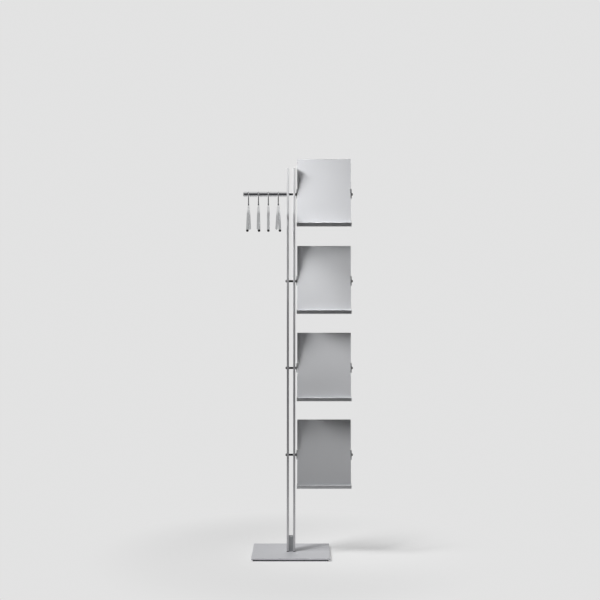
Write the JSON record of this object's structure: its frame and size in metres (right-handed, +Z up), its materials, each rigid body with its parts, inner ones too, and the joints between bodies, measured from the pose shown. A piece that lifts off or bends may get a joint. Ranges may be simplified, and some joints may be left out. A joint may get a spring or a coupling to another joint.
{
  "type": "coat stand with brochure rack",
  "caption": "Free-standing coat stand: twin flat uprights on a flat base carry a grooved coat rail with hangers on one side and tilting brochure trays on the other.",
  "frame": {"origin": "centre of the base's footprint, on the floor", "axes": "+X to the right, from the coat rail's side to the trays' side as seen from the front; +Y to the back; +Z up"},
  "size_m": [0.5152, 0.4277, 1.8578],
  "materials": {
    "silver_coat": "fine satin powder coat, silver grey",
    "black_rubber": "matt",
    "satin_steel": "satin, long grain",
    "polished_steel": "polished",
    "satin_aluminium": "satin anodised",
    "dark_steel": "blackened, semi-gloss",
    "screw_steel": "zinc plated",
    "black_plastic": "fine moulded grain"
  },
  "bodies": {
    "stand": {"base_plate": "silver_coat", "base_underlay": "black_rubber", "left_upright": "satin_steel", "right_upright": "satin_steel", "foot_block": "satin_steel", "distance_tubes": "satin_steel", "pivot_rod_1": "satin_steel", "pivot_rod_2": "satin_steel", "pivot_rod_3": "satin_steel", "pivot_rod_4": "satin_steel", "coat_rail": "polished_steel", "gap_sleeves": "dark_steel", "left_cap_nuts": "dark_steel", "collar_nuts": "dark_steel", "end_screws": "dark_steel", "block_screws": "dark_steel", "base_screws": "screw_steel", "upright_end_pads": "black_plastic", "rail_end_plug": "black_plastic"},
    "tray_1": {"tray_1_panel": "silver_coat", "tray_1_cheeks": "silver_coat", "tray_1_bushes": "black_plastic"},
    "tray_2": {"tray_2_panel": "silver_coat", "tray_2_cheeks": "silver_coat", "tray_2_bushes": "black_plastic"},
    "tray_3": {"tray_3_panel": "silver_coat", "tray_3_cheeks": "silver_coat", "tray_3_bushes": "black_plastic"},
    "tray_4": {"tray_4_panel": "silver_coat", "tray_4_cheeks": "silver_coat", "tray_4_bushes": "black_plastic"},
    "hanger_1": {"hanger_1_hook": "polished_steel", "hanger_1_ferrule": "satin_aluminium", "hanger_1_bow": "satin_aluminium", "hanger_1_caps": "black_plastic"},
    "hanger_2": {"hanger_2_hook": "polished_steel", "hanger_2_ferrule": "satin_aluminium", "hanger_2_bow": "satin_aluminium", "hanger_2_caps": "black_plastic"},
    "hanger_3": {"hanger_3_hook": "polished_steel", "hanger_3_ferrule": "satin_aluminium", "hanger_3_bow": "satin_aluminium", "hanger_3_caps": "black_plastic"},
    "hanger_4": {"hanger_4_hook": "polished_steel", "hanger_4_ferrule": "satin_aluminium", "hanger_4_bow": "satin_aluminium", "hanger_4_caps": "black_plastic"}
  },
  "joints": [
    {"name": "tray_1_tilt", "type": "hinge", "parent": "stand", "child": "tray_1", "pos_m": [0.155, 0, 1.692], "axis": [1, 0, 0], "range_deg": [-35, 6]},
    {"name": "tray_2_tilt", "type": "hinge", "parent": "stand", "child": "tray_2", "pos_m": [0.155, 0, 1.2835], "axis": [1, 0, 0], "range_deg": [-35, 6]},
    {"name": "tray_3_tilt", "type": "hinge", "parent": "stand", "child": "tray_3", "pos_m": [0.155, 0, 0.875], "axis": [1, 0, 0], "range_deg": [-35, 6]},
    {"name": "tray_4_tilt", "type": "hinge", "parent": "stand", "child": "tray_4", "pos_m": [0.155, 0, 0.4665], "axis": [1, 0, 0], "range_deg": [-35, 6]},
    {"name": "hanger_1_swing", "type": "hinge", "parent": "stand", "child": "hanger_1", "pos_m": [-0.2, 0, 1.692], "axis": [1, 0, 0], "range_deg": [-35, 35]},
    {"name": "hanger_2_swing", "type": "hinge", "parent": "stand", "child": "hanger_2", "pos_m": [-0.1535, 0, 1.692], "axis": [1, 0, 0], "range_deg": [-35, 35]},
    {"name": "hanger_3_swing", "type": "hinge", "parent": "stand", "child": "hanger_3", "pos_m": [-0.107, 0, 1.692], "axis": [1, 0, 0], "range_deg": [-35, 35]},
    {"name": "hanger_4_swing", "type": "hinge", "parent": "stand", "child": "hanger_4", "pos_m": [-0.0605, 0, 1.692], "axis": [1, 0, 0], "range_deg": [-35, 35]}
  ]
}
